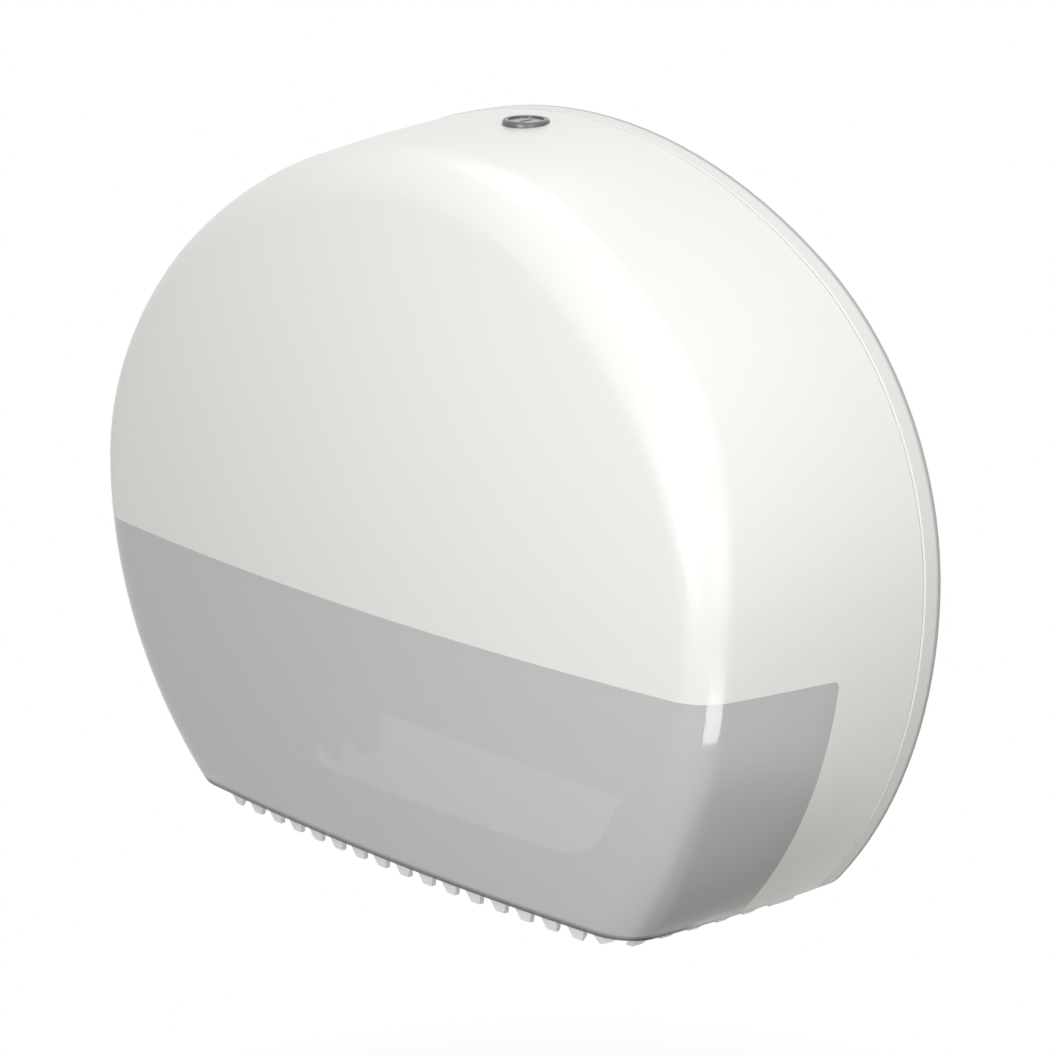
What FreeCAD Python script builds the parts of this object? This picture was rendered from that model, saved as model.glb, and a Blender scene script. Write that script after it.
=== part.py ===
import math
import os
import re

import FreeCAD, Part
import Sketcher
from FreeCAD import Placement, Rotation, Vector

# Wall-mounted jumbo toilet roll dispenser: a domed cover with a translucent lower window
# hinges forward off a flat back plate that carries the roll hubs and the toothed paper exit.
# The origin is the centre of the wall screw pattern on the back face, +Z up, front towards -Y.
# Heights are counted from the cover's lower edge and lowered by origin_height when a piece is placed.

doc = FreeCAD.newDocument("RollDispenser")
sheet = doc.addObject("Spreadsheet::Sheet", "Sizes")

SIZES = {
    "shared": {
        "origin_height": 168,
        "overrun": 6,
        "running_gap": 0.06,
        "face_gap": 0.3,
    },
    "cover": {
        "cover_half_width": 218.5,
        "cover_height": 321,
        "cover_depth": 133,
        "widest_share": 0.457,
        "low_radius_share": 1.411,
        "foot_drop": 30,
        "corner_radius": 25.5,
        "foot_corner_radius": 24,
        "shoulder_share": 0.889,
        "mid_taper": 8,
        "front_taper": 23,
        "top_taper_share": 0.8023,
        "crown_margin": 6,
        "crown_width_radius": 1480,
        "crown_height_radius": 536,
        "crown_middle": 128,
        "crown_swing": 24,
        "front_edge_radius": 20,
        "crown_edge_radius": 33,
        "cover_wall": 2.8,
        "seam_depth": 9.8,
    },
    "window": {
        "window_height": 118.7,
        "window_rear_depth": 51.9,
        "window_corner_radius": 3,
        "window_lap": 8,
        "window_lap_wall": 1.6,
        "window_lap_root": 1.5,
        "rivet_radius": 1.9,
        "rivet_head_radius": 3.2,
        "rivet_head_height": 1.2,
        "rivet_pitch": 62,
    },
    "hinge": {
        "hinge_depth": 19,
        "hinge_height": 9,
        "hinge_knuckle_radius": 8.5,
        "hinge_pin_radius": 3,
        "hinge_ear_setback": 15.04,
        "hinge_ear_width": 7.2,
        "hinge_lug_reach": 24,
        "hinge_pin_length": 15.7,
    },
    "back plate": {
        "plate_wall": 3,
        "rim_wall": 2.5,
        "rim_depth": 9.5,
        "rim_edge_radius": 0.8,
        "exit_height": 10.8,
        "pad_height": 2,
        "slot_spacing_across": 190,
        "slot_spacing_up": 150,
        "slot_half_width": 2.75,
        "slot_length": 12,
        "slot_pad_margin": 5,
        "rib_wall": 2,
        "rib_height": 4,
        "rib_pitch_share": 0.229,
        "rib_foot_share": 0.187,
        "rib_head_share": 0.779,
    },
    "tray": {
        "tray_inset": 5.4,
        "tray_wall": 2.4,
        "tray_rear_gap": 0.3,
        "tray_front_height": 31.5,
        "tray_side_height": 79.5,
        "tray_curve_start": 53.5,
        "tray_curve_end": 36.5,
        "tray_dip_depth": 52,
        "tray_dip_height": 68,
        "tray_dip_radius": 162,
        "flange_height": 46,
        "tray_bay_gap": 1,
        "tray_bay_reach": 14,
        "tray_bay_rise": 15,
        "tooth_drop": 8.5,
        "tooth_root": 0.5,
        "tooth_row_margin": 18.6,
        "tooth_gap_mouth": 10.2,
        "tooth_gap_crown": 3.6,
        "front_gap_count": 18,
        "tooth_row_shift": 4.3,
        "side_gap_count": 6,
        "side_gap_setback": 33.7,
        "side_tooth_pitch": 15.4,
    },
    "roll hubs": {
        "main_across": -62,
        "main_height": 168,
        "stub_setback": 80.5,
        "stub_height": 150,
        "spindle_radius": 8,
        "spindle_flange_radius": 27,
        "spindle_flange_wall": 4,
        "spindle_pad_radius": 31,
        "spindle_screw_circle": 21,
        "spigot_radius": 5,
        "spigot_length": 5,
        "brake_washer_radius": 16,
        "brake_washer_wall": 3,
        "hub_front_room": 48,
        "hub_radius": 28,
        "hub_wall": 2.6,
        "hub_web": 3,
        "hub_sleeve_wall": 2.6,
        "hub_flange_radius": 42,
        "hub_flange_wall": 2.5,
        "hub_nose": 5,
        "hub_rib_count": 6,
        "hub_rib_wall": 2,
        "cap_radius": 13,
        "cap_height": 6,
        "cap_face": 2,
        "cap_edge": 1.5,
    },
    "screws": {
        "screw_radius": 1.6,
        "screw_length": 7.2,
        "screw_head_radius": 3.2,
        "screw_head_height": 2.2,
        "screw_head_edge": 0.7,
        "screw_slot_width": 0.8,
        "screw_slot_depth": 1,
        "tray_screw_length": 5,
        "tray_screw_inner": 50,
        "tray_screw_setback": 37.5,
        "tray_screw_height": 36,
    },
    "lock": {
        "lock_depth": 33,
        "lock_boss_radius": 14,
        "lock_seat_drop": 2.4,
        "lock_boss_length": 9,
        "bezel_radius": 10.4,
        "bezel_height": 2.2,
        "bezel_edge": 0.7,
        "barrel_radius": 9.4,
        "barrel_length": 17,
        "plug_radius": 7.8,
        "plug_recess": 0.8,
        "plug_shaft_radius": 5,
        "plug_shoulder_drop": 7,
        "plug_tip_radius": 3.5,
        "hook_drop": 8,
        "key_slot_length": 7,
        "key_slot_width": 1.8,
        "key_slot_depth": 8,
        "nut_radius": 13,
        "nut_height": 4,
        "hook_height": 3,
        "hook_reach": 24,
        "hook_arm_half": 3,
        "hook_finger_width": 3,
        "hook_finger_tip": 8,
        "hook_eye_radius": 7,
        "hook_screw_head_radius": 4.6,
        "keeper_post_start": 3.4,
        "keeper_post_width": 4.6,
        "keeper_post_depth": 4,
        "keeper_post_front": 17,
        "keeper_post_rise": 6,
        "keeper_arm_drop": 10,
        "keeper_arm_wall": 3,
        "keeper_plate_half": 14,
        "keeper_plate_wall": 3,
        "keeper_plate_height": 22,
        "keeper_screw_half": 8,
    },
}

names = [(alias, size) for group in SIZES.values() for alias, size in group.items()]
for row, (alias, size) in enumerate(names, start=1):
    sheet.set(f"A{row}", alias)
    sheet.set(f"B{row}", str(size))
    sheet.setAlias(f"B{row}", alias)
doc.recompute()

WIDEST = "(cover_height * widest_share)"
LOW_RADIUS = f"({WIDEST} * low_radius_share)"
SHOULDER_RADIUS = f"((cover_height - {WIDEST}) * shoulder_share)"
TOP_TAPER_RATE = f"(top_taper_share * (cover_height - {WIDEST}) / cover_half_width)"
FOOT_HALF = f"(cover_half_width - {LOW_RADIUS} + sqrt({LOW_RADIUS}^2 - {WIDEST}^2))"
EAR_INNER = f"({FOOT_HALF} - hinge_ear_setback)"
BAY_INNER = f"({EAR_INNER} - tray_bay_gap - tray_wall)"
BAY_DEPTH = "(hinge_depth + tray_bay_reach)"
BAY_HEIGHT = "(hinge_height + tray_bay_rise)"
TRAY_REAR = "(plate_wall + tray_rear_gap)"
TRAY_FLAT_HALF = f"({FOOT_HALF} - tray_curve_start)"
TRAY_SHOULDER_HALF = "(cover_half_width - tray_curve_end)"
TRAY_SCREW_OUTER = f"({FOOT_HALF} - tray_screw_setback)"
TOOTH_PITCH = f"(2 * ({FOOT_HALF} - tooth_row_margin) / front_gap_count)"
STUB_ACROSS = "(cover_half_width - stub_setback)"
HUB_LENGTH = "(cover_depth - hub_front_room)"
HUB_SLEEVE = "(spindle_radius + running_gap + hub_sleeve_wall)"
SPINDLE_BASE = "(plate_wall + pad_height)"
SPINDLE_FACE = f"({SPINDLE_BASE} + spindle_flange_wall)"
LOCK_SEAT = "(cover_height - lock_seat_drop)"
LOCK_BOSS_FOOT = f"({LOCK_SEAT} - lock_boss_length)"
BARREL_FOOT = f"({LOCK_SEAT} - barrel_length)"
PLUG_SHOULDER = f"({LOCK_SEAT} - plug_shoulder_drop)"
HOOK_FOOT = f"({BARREL_FOOT} - hook_drop)"
KEEPER_ARM_FOOT = f"({HOOK_FOOT} - keeper_arm_drop)"
KEEPER_HEAD = f"({KEEPER_ARM_FOOT} + keeper_arm_wall)"
KEEPER_FACE = f"({SPINDLE_BASE} + keeper_plate_wall)"


def bound(text):
    """The expression with every size name read from the sheet."""
    return re.sub(r"\b([a-z]\w*)\b(?!\s*\()", r"Sizes.\1", str(text))


def value(text):
    result = sheet.evalExpression(bound(text))
    return float(getattr(result, "Value", result))


def add_body(label):
    body = doc.addObject("PartDesign::Body", label)
    body.Label = label
    return body


def origin_plane(body, role):
    return next(item for item in body.Origin.OriginFeatures if item.Role == role)


def add_sketch(body, name, role, offset="0"):
    sketch = body.newObject("Sketcher::SketchObject", name)
    sketch.AttachmentSupport = [(origin_plane(body, role), "")]
    sketch.MapMode = "FlatFace"
    sketch.setExpression("AttachmentOffset.Base.z", bound(offset))
    return sketch


def dimension(sketch, kind, *parts):
    """Adds a driving constraint whose last argument is a size expression."""
    text = parts[-1]
    index = sketch.addConstraint(Sketcher.Constraint(kind, *parts[:-1], value(text)))
    sketch.setExpression(f"Constraints[{index}]", bound(text))


def pin_point(sketch, geometry, point, across, along):
    """Holds a point at named distances from the sketch's origin."""
    for kind, text, axis in (("DistanceX", across, -2), ("DistanceY", along, -1)):
        size = value(text)
        if size == 0:
            sketch.addConstraint(Sketcher.Constraint("PointOnObject", geometry, point, axis))
        elif size > 0:
            dimension(sketch, kind, -1, 1, geometry, point, text)
        else:
            dimension(sketch, kind, geometry, point, -1, 1, f"-({text})")


def draw_polygon(sketch, points):
    """Closed outline through points given as pairs of size expressions."""
    corners = [Vector(value(across), value(along)) for across, along in points]
    count = len(corners)
    first = sketch.GeometryCount
    for k, corner in enumerate(corners):
        sketch.addGeometry(Part.LineSegment(corner, corners[(k + 1) % count]))
    for k in range(count):
        sketch.addConstraint(Sketcher.Constraint("Coincident", first + k, 2, first + (k + 1) % count, 1))
    for k, (across, along) in enumerate(points):
        pin_point(sketch, first + k, 1, across, along)


def draw_rectangle(sketch, left, low, right, high):
    draw_polygon(sketch, [(left, low), (right, low), (right, high), (left, high)])


def draw_circle(sketch, across, along, radius):
    centre = Vector(value(across), value(along))
    index = sketch.addGeometry(Part.Circle(centre, Vector(0, 0, 1), value(radius)))
    pin_point(sketch, index, 3, across, along)
    dimension(sketch, "Radius", index, radius)


def draw_slot(sketch, across, along, half_width, length):
    """Slot lying along the sketch's first axis, by its middle, half width and full length."""
    middle = Vector(value(across), value(along))
    radius = value(half_width)
    reach = value(length) / 2 - radius
    left = middle - Vector(reach, 0)
    right = middle + Vector(reach, 0)
    up = Vector(0, radius)
    first = sketch.GeometryCount
    sketch.addGeometry([
        Part.LineSegment(left - up, right - up),
        arc_between(right, right - up, right + up),
        Part.LineSegment(right + up, left + up),
        arc_between(left, left + up, left - up),
    ])
    for k in range(4):
        sketch.addConstraint(Sketcher.Constraint("Tangent", first + k, 2, first + (k + 1) % 4, 1))
    dimension(sketch, "Radius", first + 1, half_width)
    pin_point(sketch, first + 1, 3, f"{across} + {length} / 2 - {half_width}", along)
    pin_point(sketch, first + 3, 3, f"{across} - {length} / 2 + {half_width}", along)


def arc_between(centre, start, end):
    """Anticlockwise arc about a centre from one point's bearing to the other's."""
    radius = (start - centre).Length
    first = math.atan2(start.y - centre.y, start.x - centre.x)
    last = math.atan2(end.y - centre.y, end.x - centre.x)
    return Part.ArcOfCircle(Part.Circle(centre, Vector(0, 0, 1), radius), first, last)


def add_pad(body, name, sketch, length, symmetric=False):
    pad = body.newObject("PartDesign::Pad", name)
    pad.Profile = sketch
    pad.setExpression("Length", bound(length))
    if symmetric:
        pad.SideType = "Symmetric"
    return pad


def add_pocket(body, name, sketch, length, symmetric=False):
    """Cuts away from the sketch's normal, or both ways when symmetric."""
    pocket = body.newObject("PartDesign::Pocket", name)
    pocket.Profile = sketch
    pocket.setExpression("Length", bound(length))
    if symmetric:
        pocket.SideType = "Symmetric"
    return pocket


def turned_body(label, points):
    """Piece turned about Z from a half profile of (radius, height) pairs."""
    body = add_body(label)
    sketch = add_sketch(body, f"{label}_profile", "XZ_Plane")
    draw_polygon(sketch, points)
    turn = body.newObject("PartDesign::Revolution", f"{label}_turn")
    turn.Profile = sketch
    turn.ReferenceAxis = (sketch, ["V_Axis"])
    return body


def add_block(label, low_corner, sides):
    """Part box by its low corner and its three sides, all size expressions."""
    block = doc.addObject("Part::Box", label)
    for name, text in zip(("Placement.Base.x", "Placement.Base.y", "Placement.Base.z"), low_corner):
        block.setExpression(name, bound(text))
    for name, text in zip(("Length", "Width", "Height"), sides):
        block.setExpression(name, bound(text))
    return block


def add_rod(label, start, radius, length, direction):
    """Part cylinder from a start point along one of the axes."""
    rod = doc.addObject("Part::Cylinder", label)
    rod.setExpression("Radius", bound(radius))
    rod.setExpression("Height", bound(length))
    rod.Placement = Placement(Vector(), Rotation(Vector(0, 0, 1), direction))
    for name, text in zip(("Placement.Base.x", "Placement.Base.y", "Placement.Base.z"), start):
        rod.setExpression(name, bound(text))
    return rod


def cut_away(label, base, tool):
    result = doc.addObject("Part::Cut", label)
    result.Base = base
    result.Tool = tool
    return result


def keep_common(label, base, tool):
    result = doc.addObject("Part::Common", label)
    result.Base = base
    result.Tool = tool
    return result


def join(label, pieces):
    result = doc.addObject("Part::MultiFuse", label)
    result.Shapes = pieces
    return result


parts = {}


def finish(node, item, across="0", depth="0", height="0", rotation=None):
    """Names a sub-part and places it; depth is how far its zero stands in front of the wall."""
    item.Label = node
    item.Placement = Placement(Vector(), rotation or Rotation())
    item.setExpression("Placement.Base.x", bound(across))
    item.setExpression("Placement.Base.y", bound(f"-({depth})"))
    item.setExpression("Placement.Base.z", bound(f"{height} - origin_height"))
    parts[node] = item


def repeat_at(node, source, places, rotation):
    """Copies of one fastener at several places, kept as one node."""
    copies = []
    for k, (across, depth, height) in enumerate(places):
        copy = doc.addObject("App::Link", f"{node}_{k}")
        copy.LinkedObject = source
        copy.Placement = Placement(Vector(), rotation)
        copy.setExpression("Placement.Base.x", bound(across))
        copy.setExpression("Placement.Base.y", bound(f"-({depth})"))
        copy.setExpression("Placement.Base.z", bound(height))
        copies.append(copy)
    group = doc.addObject("Part::Compound", node)
    group.Links = copies
    finish(node, group)


FORWARD = Rotation(Vector(1, 0, 0), 90)


def arch_sketch(body, name, depth, inset, taper):
    """D-shaped outline at one depth: flat foot, rounded corners, swept sides and arched top."""
    sketch = add_sketch(body, name, "XZ_Plane", depth)
    half = f"(cover_half_width - {inset} - {taper})"
    corner = f"(corner_radius - {inset})"
    low = f"({LOW_RADIUS} - {inset} + {taper})"
    shoulder = f"({SHOULDER_RADIUS} - {inset} - {taper})"
    rise = f"(cover_height - {inset} - {taper} * {TOP_TAPER_RATE} - {WIDEST})"
    crown = f"((({half} - {shoulder})^2 + {rise}^2 - {shoulder}^2) / (2 * ({rise} - {shoulder})))"
    foot = value(f"{inset} - foot_drop")
    waist_height = value(WIDEST)
    corner_size = value(corner)
    low_centre = Vector(value(f"{half} - {low}"), waist_height)
    reach = value(f"{low} - {corner}")
    drop = waist_height - foot - corner_size
    corner_centre = Vector(low_centre.x + math.sqrt(reach ** 2 - drop ** 2), foot + corner_size)
    shoulder_centre = Vector(value(f"{half} - {shoulder}"), waist_height)
    crown_centre = Vector(0, value(f"{WIDEST} + {rise} - {crown}"))
    toe = Vector(corner_centre.x, foot)
    heel = low_centre + (corner_centre - low_centre).normalize() * value(low)
    waist = Vector(value(half), waist_height)
    hip = crown_centre + (shoulder_centre - crown_centre).normalize() * value(crown)

    def flip(point):
        return Vector(-point.x, point.y)

    sketch.addGeometry([
        Part.LineSegment(flip(toe), toe),
        arc_between(corner_centre, toe, heel),
        arc_between(low_centre, heel, waist),
        arc_between(shoulder_centre, waist, hip),
        arc_between(crown_centre, hip, flip(hip)),
        arc_between(flip(shoulder_centre), flip(hip), flip(waist)),
        arc_between(flip(low_centre), flip(waist), flip(heel)),
        arc_between(flip(corner_centre), flip(heel), flip(toe)),
    ])
    count = sketch.GeometryCount
    for k in range(count):
        sketch.addConstraint(Sketcher.Constraint("Tangent", k, 2, (k + 1) % count, 1))
    radii = ((1, corner), (7, corner), (2, low), (6, low), (3, shoulder), (5, shoulder), (4, crown))
    for geometry, text in radii:
        dimension(sketch, "Radius", geometry, text)
    pin_point(sketch, 2, 2, half, WIDEST)
    sketch.addConstraint(Sketcher.Constraint("Symmetric", 2, 2, 5, 2, -2))
    sketch.addConstraint(Sketcher.Constraint("PointOnObject", 4, 3, -2))
    sketch.addConstraint(Sketcher.Constraint("Horizontal", 3, 3, 2, 2))
    dimension(sketch, "DistanceY", 0, 1, -1, 1, f"foot_drop - {inset}")
    sketch.addConstraint(Sketcher.Constraint("Horizontal", 0))
    return sketch


def crown_sketch(body, name, inset):
    """Side view of what lies ahead of the domed front, to be swung about the dome's upright axis."""
    sketch = add_sketch(body, name, "YZ_Plane")
    radius = f"(crown_height_radius - {inset})"
    setback = f"({radius} - cover_depth + {inset})"
    outer = f"(cover_depth + crown_margin + overrun + foot_drop)"
    foot = "(foot_drop + overrun)"
    head = "(cover_height + overrun)"
    pivot = "(crown_width_radius - cover_depth)"
    centre = Vector(value(setback), value("crown_middle"))
    far = -value(outer)
    ends = []
    for height in (-value(foot), value(head)):
        run = math.sqrt(value(radius) ** 2 - (height - centre.y) ** 2)
        ends.append(Vector(centre.x - run, height))
    low, high = ends
    sketch.addGeometry([
        arc_between(centre, high, low),
        Part.LineSegment(low, Vector(far, low.y)),
        Part.LineSegment(Vector(far, low.y), Vector(far, high.y)),
        Part.LineSegment(Vector(far, high.y), high),
    ])
    for k in range(4):
        sketch.addConstraint(Sketcher.Constraint("Coincident", k, 2, (k + 1) % 4, 1))
    dimension(sketch, "Radius", 0, radius)
    pin_point(sketch, 0, 3, setback, "crown_middle")
    dimension(sketch, "DistanceY", 0, 2, -1, 1, foot)
    dimension(sketch, "DistanceY", -1, 1, 0, 1, head)
    for k in (1, 3):
        sketch.addConstraint(Sketcher.Constraint("Horizontal", k))
    sketch.addConstraint(Sketcher.Constraint("Vertical", 2))
    dimension(sketch, "DistanceX", 2, 1, -1, 1, outer)
    upright = Part.LineSegment(Vector(value(pivot), 0), Vector(value(pivot), value(head)))
    axis = sketch.addGeometry(upright, True)
    pin_point(sketch, axis, 1, pivot, "0")
    pin_point(sketch, axis, 2, pivot, head)
    return sketch


def edge_names(shape, wanted):
    return [f"Edge{k}" for k, edge in enumerate(shape.Edges, start=1) if wanted(edge)]


def arch_form(label, inset):
    """The cover's outer form drawn in by an inset: a loft through three outlines, domed in front,
    with a front edge whose rounding grows from the sides to the crown."""
    body = add_body(label)
    far = "cover_depth + crown_margin"
    levels = (("0", "0"), (f"({far}) / 2", "mid_taper"), (far, "front_taper"))
    sections = [arch_sketch(body, f"{label}_section{k}", depth, inset, taper)
                for k, (depth, taper) in enumerate(levels)]
    loft = body.newObject("PartDesign::AdditiveLoft", f"{label}_loft")
    loft.Profile = sections[0]
    loft.Sections = sections[1:]
    swing = crown_sketch(body, f"{label}_crown", inset)
    groove = body.newObject("PartDesign::Groove", f"{label}_dome")
    groove.Profile = swing
    groove.ReferenceAxis = (swing, ["Axis0"])
    groove.setExpression("Angle", bound("crown_swing"))
    groove.Midplane = True
    doc.recompute()
    face = min(groove.Shape.Faces, key=lambda item: item.CenterOfMass.y)
    side_radius = value(f"front_edge_radius - {inset}")
    crown_radius = value(f"crown_edge_radius - {inset}")
    shoulder_foot = value(f"{WIDEST} + front_edge_radius")

    def radius_at(vertex):
        return crown_radius if vertex.Z > shoulder_foot else side_radius

    rim = [(k, radius_at(edge.Vertexes[0]), radius_at(edge.Vertexes[-1]))
           for k, edge in enumerate(groove.Shape.Edges, start=1)
           if any(edge.isSame(side) for side in face.Edges)]
    rounding = doc.addObject("Part::Fillet", f"{label}_front_edge")
    rounding.Base = body
    rounding.Edges = rim
    return rounding


def add_cover_and_window(outer, hollow):
    """Vacuum-smooth white shell, open behind and below, with the grey window let into its lower front."""
    reach = "(cover_half_width + overrun)"
    depth = "(cover_depth + overrun)"
    foot = footed_slab("cover_foot", "0", "(0 - face_gap)", depth, "0")[0]
    form = keep_common("cover_form", outer, foot)
    wall = cut_away("cover_wall_shape", form, hollow)
    room = add_block("cover_room", (f"-{reach}", f"-{depth}", "0"),
                     (f"2 * {reach}", f"{depth} - seam_depth", "cover_height + overrun"))
    whole = keep_common("cover_whole", wall, room)

    region = add_body("window_region")
    profile = add_sketch(region, "window_region_profile", "YZ_Plane")
    draw_rectangle(profile, f"-{depth}", "-overrun", "-window_rear_depth", "window_height")
    slab = add_pad(region, "window_region_slab", profile, f"2 * {reach}", symmetric=True)
    doc.recompute()
    top_rear = Vector(0, -value("window_rear_depth"), value("window_height"))
    near = value("running_gap")
    corner = edge_names(slab.Shape, lambda edge: edge.CenterOfMass.isEqual(top_rear, near))
    rounding = region.newObject("PartDesign::Fillet", "window_region_corner")
    rounding.Base = (slab, corner)
    rounding.setExpression("Radius", bound("window_corner_radius"))

    panel = keep_common("window_panel", whole, region)
    lap_hollow = arch_form("window_lap_hollow", "(cover_wall + window_lap_wall)")
    lap_wall = cut_away("window_lap_shape", hollow, lap_hollow)
    lap_room = add_block("window_lap_room", (f"-{reach}", f"-{depth}", "0"),
                         (f"2 * {reach}", f"{depth} - window_rear_depth + window_lap",
                          "window_height + window_lap"))
    lap_open = add_block("window_lap_open", (f"-{reach}", f"-{depth}", "-overrun"),
                         (f"2 * {reach}", f"{depth} - window_rear_depth - window_lap_root",
                          "window_height + overrun - window_lap_root"))
    lap = cut_away("window_lap_band", keep_common("window_lap_roomed", lap_wall, lap_room), lap_open)
    stems, heads = window_rivet_rods()
    rivet_heads = keep_common("rivet_heads_trimmed", join("rivet_heads", heads), lap_hollow)
    finish("window_rivets", join("window_rivets", stems + [rivet_heads]))
    stem_holes = join("rivet_stems", window_rivet_rods()[0])
    finish("window", cut_away("window", join("window_solid", [panel, lap]), stem_holes))

    white = cut_away("cover_white", whole, region)
    knuckles = []
    bores = []
    lug_start = f"({EAR_INNER} + hinge_ear_width + 2 * face_gap)"
    for side, sign, direction in SIDES:
        start = (f"{sign}{lug_start}", "-hinge_depth", "hinge_height")
        knuckle = add_rod(f"knuckle_{side}", start, "hinge_knuckle_radius", "hinge_lug_reach", direction)
        knuckles.append(keep_common(f"knuckle_{side}_trimmed", knuckle, form))
        bore_start = (f"{sign}{EAR_INNER}", "-hinge_depth", "hinge_height")
        bores.append(add_rod(f"knuckle_bore_{side}", bore_start, "hinge_pin_radius + running_gap",
                             "hinge_pin_length + face_gap", direction))
    boss = add_rod("lock_boss", ("0", "-lock_depth", LOCK_BOSS_FOOT), "lock_boss_radius",
                   f"cover_height - {LOCK_BOSS_FOOT}", Vector(0, 0, 1))
    boss_trimmed = keep_common("lock_boss_trimmed", boss, form)
    solid = join("cover_solid", [white, boss_trimmed] + knuckles)

    corner_block = add_block("corner_block", (f"-{reach}", "-hinge_depth", "-overrun"),
                             (f"2 * {reach}", "hinge_depth", "hinge_height + overrun"))
    corner_rod = add_rod("corner_rod", (f"-{reach}", "-hinge_depth", "hinge_height"),
                         "hinge_depth - seam_depth", f"2 * {reach}", Vector(1, 0, 0))
    corner_trim = cut_away("corner_trim", corner_block, corner_rod)
    lock_bore = add_rod("lock_bore", ("0", "-lock_depth", f"{LOCK_BOSS_FOOT} - overrun"),
                        "barrel_radius + running_gap", f"cover_height - {LOCK_BOSS_FOOT} + 2 * overrun",
                        Vector(0, 0, 1))
    lock_seat = add_rod("lock_seat", ("0", "-lock_depth", LOCK_SEAT),
                        "bezel_radius + running_gap", "lock_seat_drop + overrun",
                        Vector(0, 0, 1))
    cuts = join("cover_cuts", [corner_trim, lock_bore, lock_seat, stem_holes] + bores)
    finish("cover_shell", cut_away("cover_shell", solid, cuts))


def window_rivet_rods():
    """Stems and heads of the rivets along the window's upper lap, following the bow of the front."""
    stems = []
    heads = []
    seat_wall = "(cover_wall + window_lap_wall)"
    for k in range(RIVETS):
        across = f"(({k} - {RIVETS - 1} / 2) * rivet_pitch)"
        front = f"(cover_depth - {across}^2 / (2 * crown_width_radius))"
        height = "window_height + window_lap / 2"
        start = (across, f"-({front} - cover_wall / 2)", height)
        stems.append(add_rod(f"rivet_stem_{k}", start, "rivet_radius",
                             f"{seat_wall} + rivet_head_height - cover_wall / 2", Vector(0, 1, 0)))
        seat = (across, f"-({front} - cover_wall)", height)
        heads.append(add_rod(f"rivet_head_{k}", seat, "rivet_head_radius",
                             "window_lap_wall + rivet_head_height", Vector(0, 1, 0)))
    return stems, heads


RIVETS = 6


def add_tray():
    """Paper exit tray: a low front lip, high side cheeks and a toothed lower edge on three sides."""
    outer = arch_form("tray_outer", "tray_inset")
    hollow = arch_form("tray_hollow", "(tray_inset + tray_wall)")
    wall = cut_away("tray_wall_shape", outer, hollow)
    reach = "(cover_half_width + overrun)"
    depth = "(cover_depth + overrun)"

    flange = add_block("tray_flange", (f"-{reach}", f"-{TRAY_REAR} - tray_wall", "exit_height"),
                       (f"2 * {reach}", "tray_wall", "flange_height - exit_height"))
    bay_depth = f"({BAY_DEPTH} + tray_wall)"
    bays = []
    hollows = []
    for side_name, low_edge, high_edge in (("right", BAY_INNER, reach),
                                           ("left", f"-{reach}", f"-{BAY_INNER}")):
        bays.append(add_block(f"bay_{side_name}", (low_edge, f"-{bay_depth}", "-tooth_drop"),
                              (f"{high_edge} - ({low_edge})", f"{bay_depth} - {TRAY_REAR}",
                               f"{BAY_HEIGHT} + tray_wall + tooth_drop")))
        inner_low = low_edge if side_name == "left" else f"({low_edge} + tray_wall)"
        hollows.append(add_block(f"bay_hollow_{side_name}",
                                 (inner_low, f"-{BAY_DEPTH}", "-tooth_drop - overrun"),
                                 (f"{reach} - {BAY_INNER} - tray_wall", BAY_DEPTH,
                                  f"{BAY_HEIGHT} + tooth_drop + overrun")))
    fittings = keep_common("tray_fittings", join("tray_fitting_blocks", [flange] + bays), outer)
    solid = join("tray_solid", [wall, fittings])
    room = add_block("tray_room", (f"-{reach}", f"-{depth}", "-tooth_drop"),
                     (f"2 * {reach}", f"{depth} - {TRAY_REAR}", "cover_height"))
    roomed = keep_common("tray_roomed", solid, room)

    dip = add_rod("tray_dip", (f"-{reach}", "-tray_dip_depth", "tray_dip_height + tray_dip_radius"),
                  "tray_dip_radius", f"2 * {reach}", Vector(1, 0, 0))
    holes = [add_rod(f"tray_screw_hole_{k}",
                     (across, f"-{TRAY_REAR} - tray_wall - overrun", "tray_screw_height"),
                     "screw_radius + running_gap", "tray_wall + 2 * overrun", Vector(0, 1, 0))
             for k, across in enumerate(tray_screw_places())]
    cutters = [tray_top_cutter(), dip, tooth_gaps("front"), tooth_gaps("side")]
    cuts = join("tray_cuts", cutters + hollows + holes)
    finish("tear_tray", cut_away("tear_tray", roomed, cuts))


def tray_screw_places():
    return (f"-{TRAY_SCREW_OUTER}", "-tray_screw_inner", "tray_screw_inner", TRAY_SCREW_OUTER)


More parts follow.
